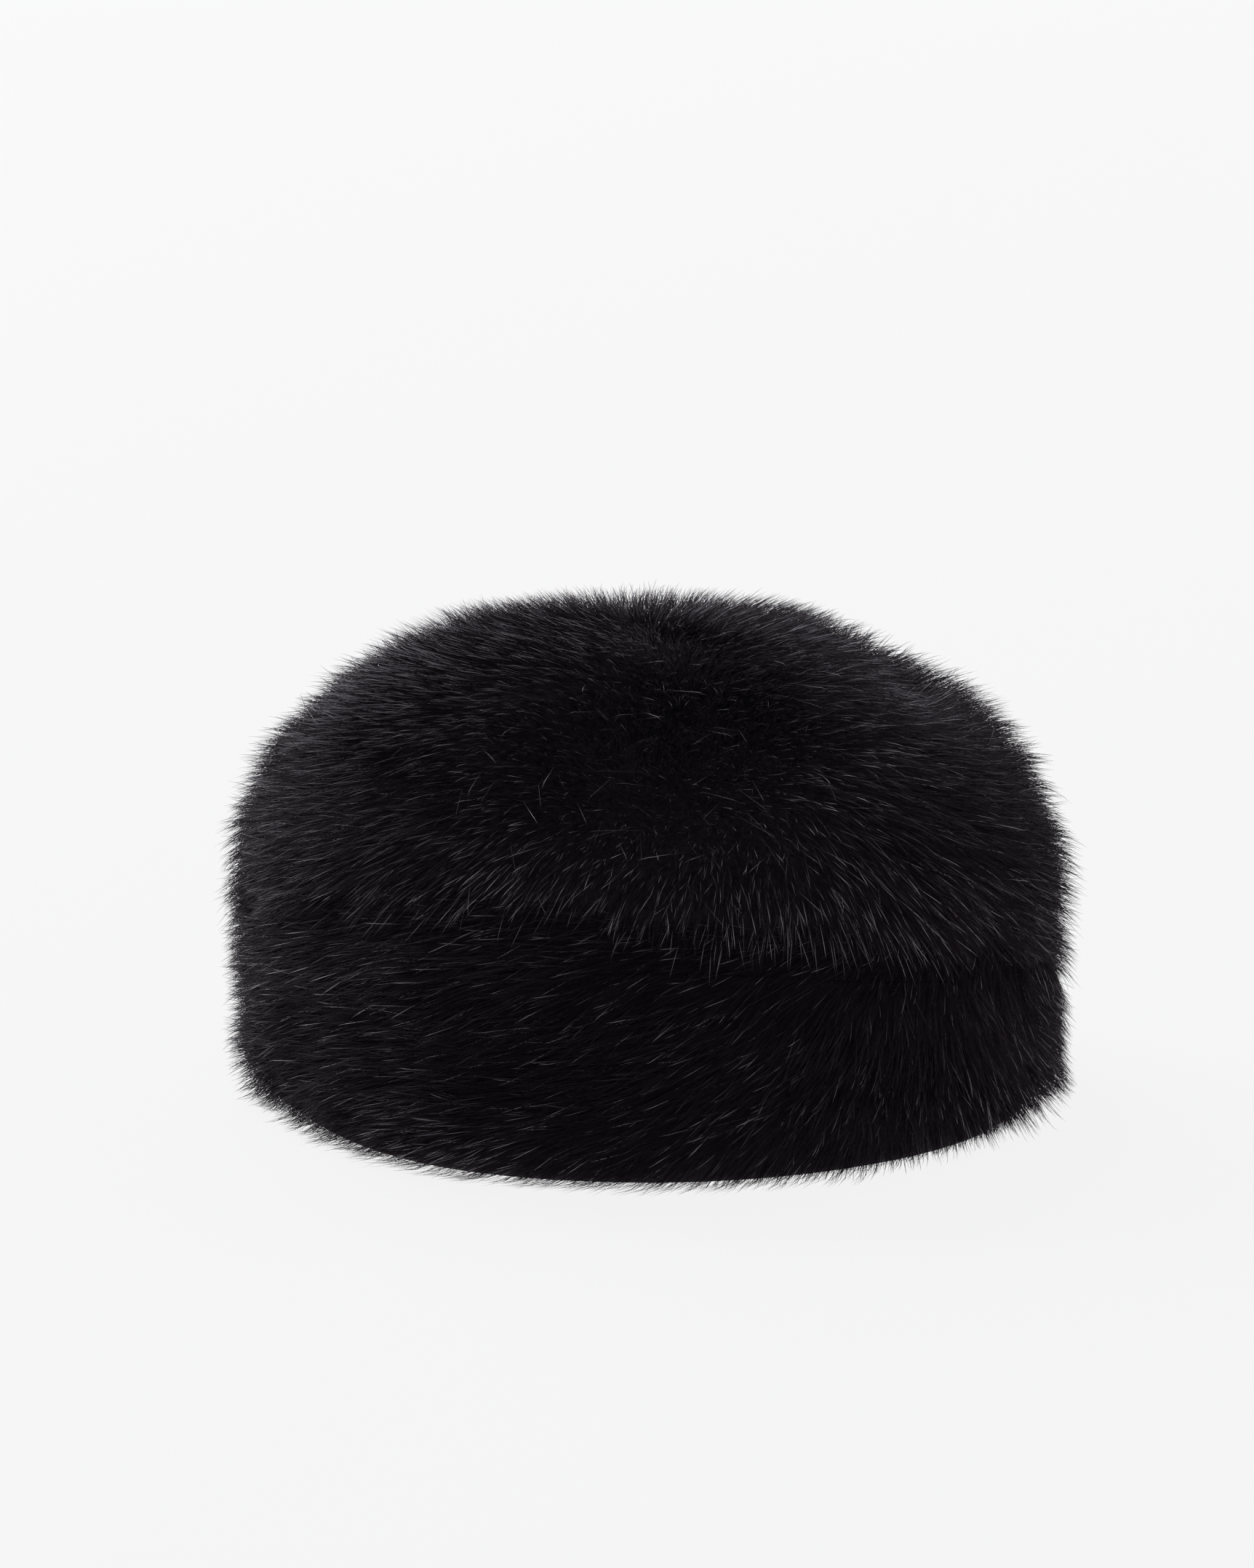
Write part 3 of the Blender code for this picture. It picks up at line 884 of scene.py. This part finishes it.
    # Its chart says its tone and how far along each point is. The tone is raised by the coat and raised or
    # lowered by place: painted glints, painted sheen and painted shade, with some gloss.
    tone = stored("tone") + (lock_chance - stored("tone")) * asked["Lock Tone"]
    tone = (tone * asked["Shine"] * stored("sheen")).least(1.0)
    inside = 1 - 2 * CHART_EDGE
    chart = {"X": tone * inside + CHART_EDGE, "Y": along * inside + CHART_EDGE}
    chart = node("ShaderNodeCombineXYZ", None, chart)
    hairs = store(hairs, "OFBake", chart, "FLOAT2", "CORNER")
    for name in ("root", "out", "lie", "lift", "reach", "sheen", "along", "around", "tone",
                 "chance_lift", "chance_length", "chance_way"):
        hairs = node("GeometryNodeRemoveAttribute", None, {"Geometry": hairs, "Name": name})
    hairs = node("GeometryNodeSetShadeSmooth", None, {"Geometry": hairs, "Shade Smooth": True})
    hairs = node("GeometryNodeSetMaterial", None, {"Geometry": hairs, "Material": asked["Finish"]})
    ended = tree.nodes.new("NodeGroupOutput")
    tree.links.new(hairs.socket, ended.inputs["Fur"])
    return tree


FUR = fur_tree()
print(f"the tree has {len(FUR.nodes)} nodes")


# %% Run the tree on a skin
def grow(name, skin, settings):
    """Runs the fur tree on a skin and keeps its result as a plain mesh object."""
    modifier = skin.modifiers.new("fur", "NODES")
    modifier.node_group = FUR
    for item in FUR.interface.items_tree:
        if item.in_out == "INPUT" and item.name in settings:
            modifier[item.identifier] = settings[item.name]
    graph = bpy.context.evaluated_depsgraph_get()
    mesh = bpy.data.meshes.new_from_object(skin.evaluated_get(graph))
    skin.modifiers.remove(modifier)
    mesh.name = name
    coat = bpy.data.objects.new(name, mesh)
    bpy.context.scene.collection.objects.link(coat)
    print(f"{name}: {len(mesh.polygons)} triangles")
    return coat


# %% [markdown]
# ## The finish of the fur
# Black acrylic fur is almost black: what one sees of it is the light that glances off each hair, a little
# cool in tone. Each hair reads its own chart: across it a tone, random and raised or lowered by place, the
# same all along one hair, and up it the way from root to tip. Most hairs are near black. Some hairs,
# guard hairs most, are lighter and smoother at the tip: these light colours are painted glints. Only the
# outer part of a hair shows its tone; nearer the root it keeps its darkest colour, painted shade for the
# shade of its neighbours.

# %% Mix the finishes
GLANCE_TINT = (0.90, 0.79, 1.0, 1)  # of the light that glances off


def new_finish(name, roughness, specular):
    """A material with one Principled shader, and its tree and shader."""
    finish = bpy.data.materials.new(name)
    finish.use_nodes = True
    shader = finish.node_tree.nodes["Principled BSDF"]
    shader.inputs["Roughness"].default_value = roughness
    shader.inputs["Specular IOR Level"].default_value = specular
    shader.inputs["Specular Tint"].default_value = GLANCE_TINT
    return finish, finish.node_tree, shader


DULL = 0.85  # roughness of a root and of the dullest hair
FULL_BY = 0.625  # share of the way from tip_from to the tip at which the tone shows fully


def hair_finish(name, stops, tip_from, roughness, specular):
    """The finish of a hair: its tone picks a colour of the stops, whose lighter ones are painted glints, and
    the part past tip_from shows it; nearer the root it keeps the first colour, painted shade.
    """
    finish, tree, shader = new_finish(name, roughness, specular)
    chart = Wire.node(tree, "ShaderNodeUVMap", {"uv_map": "OFBake"})
    tone = Wire.node(tree, "ShaderNodeValToRGB", {"stops": stops}, {0: chart.part("X")})
    # Below tip_from a hair keeps the first, darkest colour of its stops: painted shade
    tip = ((chart.part("Y") - tip_from) * (1 / FULL_BY / (1 - tip_from))).least(1.0).most(0.0)
    colour = Wire.node(tree, "ShaderNodeMix", {"data_type": "RGBA"},
                       {"Factor": tip, 6: (*stops[0][1], 1), 7: tone}, 2)
    tree.links.new(colour.socket, shader.inputs["Base Color"])
    dull = DULL + (roughness - DULL) * tip * chart.part("X")
    tree.links.new(dull.socket, shader.inputs["Roughness"])
    return finish


# The lighter stops, which the highest tones pick, are painted glints on the hair tips
pile_finish = hair_finish("pile_finish", [
    (0.0, (0.0096, 0.0062, 0.0084)),
    (0.78, (0.0100, 0.0070, 0.0093)),
    (0.86, (0.040, 0.034, 0.044)),
    (0.94, (0.220, 0.205, 0.235)),
], tip_from=0.62, roughness=0.32, specular=0.10)
guard_finish = hair_finish("guard_finish", [
    (0.0, (0.0068, 0.0044, 0.0064)),
    (0.50, (0.010, 0.008, 0.011)),
    (0.62, (0.026, 0.024, 0.033)),
    (0.74, (0.070, 0.063, 0.070)),
    (0.85, (0.150, 0.145, 0.165)),
    (0.97, (0.330, 0.320, 0.340)),
], tip_from=0.58, roughness=0.25, specular=0.60)
print("hair finishes:", pile_finish.name, guard_finish.name)

# %% Finish the underfur and the cloth
ground_finish, tree, shader = new_finish("ground_finish", roughness=0.8, specular=0.08)
place = Wire.node(tree, "ShaderNodeTexCoord", None, None, "Object")
strands = Wire.node(tree, "ShaderNodeTexNoise", None, {"Vector": place, "Scale": 900.0, "Detail": 2.0})
tint = Wire.node(tree, "ShaderNodeValToRGB", {"stops": [
    (0.3, (0.005, 0.0040, 0.0054)), (0.7, (0.014, 0.0113, 0.0142))]}, {0: strands})
tree.links.new(tint.socket, shader.inputs["Base Color"])
bump = Wire.node(tree, "ShaderNodeBump", None, {"Strength": 0.6, "Distance": 0.001, "Height": strands})
tree.links.new(bump.socket, shader.inputs["Normal"])

knit_finish, tree, shader = new_finish("knit_finish", roughness=0.85, specular=0.15)
WALES = 300  # columns of stitches round the hollow
COURSE = 0.0016  # height of one row of stitches
LEAN = 1.2  # how far the two legs of a stitch lean together
place = Wire.node(tree, "ShaderNodeTexCoord", None, None, "Object")
angle = Wire.node(tree, "ShaderNodeMath", {"operation": "ARCTAN2"}, {0: place.part("X"), 1: place.part("Y")})
wale = (angle * (WALES / 2)).sine()
rows_of = ((place.part("Z") * (2 * pi / COURSE)) + wale * LEAN).sine()
loops = wale.maths("ABSOLUTE", wale) * (rows_of * 0.5 + 0.5)
# The loops are lighter than the gaps between them: painted shade in the gaps
shade = Wire.node(tree, "ShaderNodeValToRGB", {"stops": [
    (0.1, (0.006, 0.006, 0.007)), (0.9, (0.020, 0.019, 0.021))]}, {0: loops})
tree.links.new(shade.socket, shader.inputs["Base Color"])
bump = Wire.node(tree, "ShaderNodeBump", None, {"Strength": 0.8, "Distance": 0.0006, "Height": loops})
tree.links.new(bump.socket, shader.inputs["Normal"])

for shell in (crown_underfur, band_underfur):
    shell.data.materials.append(ground_finish)
    shell.data.materials.append(knit_finish)
    print(f"{shell.name}: finished in {ground_finish.name} and {knit_finish.name}")

# %% [markdown]
# ## The coats
# Each piece of cloth gets two coats: the pile, which is many dull hairs, and the guard hairs, which are
# fewer, stand a little further out and catch the light one by one, helped by painted glints on their lighter
# tips. The crown gets a third coat of a few stray hairs. These rise steeply and then droop, so that they lie
# across the standing fur in all directions.

# %% Write the recipes
PILE = {
    "Needle": pile_needle, "Finish": pile_finish, "Density": 1.1e6, "Length": 0.0240, "Depth": 0.0098,
    "Width": 0.00017, "Lock Size": 0.0048, "Lock Pull": 0.62, "Lock Tone": 0.12, "Wave": 0.9, "Stray": 0.5,
    "Lift Spread": radians(14), "Lift Wave": radians(60),
}
GUARD = {
    "Needle": guard_needle, "Finish": guard_finish, "Density": 0.20e6, "Length": 0.0210, "Depth": 0.0110,
    "Width": 0.00016, "Lock Size": 0.0075, "Lock Pull": 0.25, "Lock Tone": 0.20, "Wave": 0.9, "Stray": 0.9,
    "Lift Spread": radians(34), "Lift Wave": radians(60),
}
STRAY = {
    **GUARD, "Density": 0.017e6, "Length": 0.0250, "Depth": 0.0200, "Width": 0.00013, "Lock Pull": 0.0,
    "Lock Tone": 0.0, "Wave": 1.4, "Stray": 3.4, "Lift Spread": radians(20), "Droop": 1.0,
}
for kind, recipe in (("pile", PILE), ("guard", GUARD), ("stray", STRAY)):
    print(f"{kind}: {recipe['Density'] / 1e4:.1f} hairs on a square centimetre")

# %% Say where each skin begins and ends
LOWEST_ROOTS = 0.10  # of the band, as a share up


def crown_low(turn):
    """Where the crown's lowest hairs are rooted, as the share up that crown_surface takes."""
    return (crease_at(turn) + value_round(MEETING, turn, 3) / MM_IN_METRE - SPRING_HEIGHT) / CROWN_ARC


def band_high(turn):
    """Where the band's highest hairs are rooted, as the share up that band_surface takes."""
    return (crease_at(turn) + value_round(MEETING, turn, 4) / MM_IN_METRE) / value_round(SEAM, turn)


CROWN_EDGES = (crown_low, lambda turn: 1.0)
BAND_EDGES = (lambda turn: LOWEST_ROOTS, band_high)
print(f"crown: lowest roots at {crown_low(0):.2f} up in front, band: highest at {band_high(0):.2f}")

# %% Grow the coats
CROWN_EXTRA = 0.0018  # the crown's fur stands this much deeper than the band's
# How far each coat's tones are raised: more painted glints on the hair tips and smoother hairs; under 1,
# fewer
CROWN_GLOSS_AND_PAINTED_GLINTS = {"pile": 1.0, "guard": 1.12, "stray": 1.08}
BAND_GLOSS_AND_PAINTED_GLINTS = {"pile": 0.92, "guard": 1.16}
COATS = (
    # piece, kind, recipe, sectors that the piece is split in
    ("crown", "pile", PILE, 3),
    ("band", "pile", PILE, 2),
    ("crown", "guard", GUARD, 1),
    ("band", "guard", GUARD, 1),
    ("crown", "stray", STRAY, 1),
)
coats = []
seed = 11  # each coat takes the next one
for piece, kind, recipe, sectors in COATS:
    for k in range(sectors):
        start, end = -180 + 360 * k / sectors, -180 + 360 * (k + 1) / sectors
        seed += 1
        if piece == "crown":
            skin = make_skin("skin", crown_surface, CROWN_COMB, CROWN_GLOSS_AND_PAINTED_LIGHT, CROWN_EDGES, start, end)
            change = {"Seed": seed, "Shine": CROWN_GLOSS_AND_PAINTED_GLINTS[kind], "Depth": recipe["Depth"] + CROWN_EXTRA}
        else:
            skin = make_skin("skin", band_surface, BAND_COMB, BAND_GLOSS_AND_PAINTED_LIGHT, BAND_EDGES, start, end)
            change = {"Seed": seed, "Shine": BAND_GLOSS_AND_PAINTED_GLINTS[kind]}
        name = f"{piece}_{kind}_{k + 1}" if sectors > 1 else f"{piece}_{kind}"
        coats.append((grow(name, skin, {**recipe, **change}), f"{piece}_fur"))
        bpy.data.objects.remove(skin, do_unlink=True)
for needle in (pile_needle, guard_needle):
    bpy.data.objects.remove(needle, do_unlink=True)
print("triangles of all coats:", sum(len(coat.data.polygons) for coat, slot in coats))

# %% [markdown]
# ## Put the pieces on the frame
# The shells stand for the two solids, which are then hidden. Everything rides on the one body of the hat.

# %% Ride on the frame
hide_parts("crown")
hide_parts("band")
dressed = coats + [(crown_underfur, "crown_fur"), (band_underfur, "band_fur")]
for piece, slot in dressed:
    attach(piece, "root")
print(f"{len(dressed)} pieces ride on the hat's body")

# %% [markdown]
# ## The table and the light
# The photograph has one even pale ground and no hard shadow, so the floor is one wide sheet that gives
# nearly all its pale tone itself. The light comes from wide suns at both sides and a little behind the
# hat, which leaves its front dark and draws a sheen along its sides. A weak low sun from the front lights
# the hairs that hang straight down in the fringe, and a soft sky fills in.

# %% Lay the floor
FLOOR_HALF = 30.0
mesh = bpy.data.meshes.new("floor")
corners = [(FLOOR_HALF * x, FLOOR_HALF * y, 0) for x, y in ((-1, -1), (1, -1), (1, 1), (-1, 1))]
mesh.from_pydata(corners, [], [(0, 1, 2, 3)])
floor = bpy.data.objects.new("floor", mesh)
bpy.context.scene.collection.objects.link(floor)
paper, tree, shader = new_finish("paper", roughness=0.9, specular=0.1)
shader.inputs["Base Color"].default_value = (0.014, 0.014, 0.014, 1)
shader.inputs["Emission Color"].default_value = (1, 1, 1, 1)
shader.inputs["Emission Strength"].default_value = 0.873
mesh.materials.append(paper)
print(f"floor: {2 * FLOOR_HALF:.0f} m square")

# %% Light it
SUNLIGHT = (0.95, 0.96, 1.0)  # a little cool
SUNS = (
    # name, azimuth (0 from the front, 90 from +X), elevation, strength, breadth in degrees
    ("left", -128, 40, 2.15, 20),
    ("back left", -150, 28, 0.75, 30),
    ("right", 130, 45, 0.82, 25),
    ("top", -155, 58, 1.3, 40),
    ("front", 20, 22, 0.5, 20),
)
for name, azimuth, elevation, strength, breadth in SUNS:
    light = bpy.data.lights.new(name, "SUN")
    light.color = SUNLIGHT
    light.energy = strength
    light.angle = radians(breadth)
    sun = bpy.data.objects.new(name, light)
    a, e = radians(azimuth), radians(elevation)
    towards = Vector((sin(a) * cos(e), -cos(a) * cos(e), sin(e)))
    sun.rotation_euler = towards.to_track_quat("Z", "Y").to_euler()
    bpy.context.scene.collection.objects.link(sun)

world = bpy.data.worlds.new("sky")
world.use_nodes = True
world.node_tree.nodes["Background"].inputs["Color"].default_value = (1, 1, 1, 1)
world.node_tree.nodes["Background"].inputs["Strength"].default_value = 0.45
bpy.context.scene.world = world
bpy.context.scene.view_settings.view_transform = "Standard"
print(f"{len(SUNS)} suns and a sky")
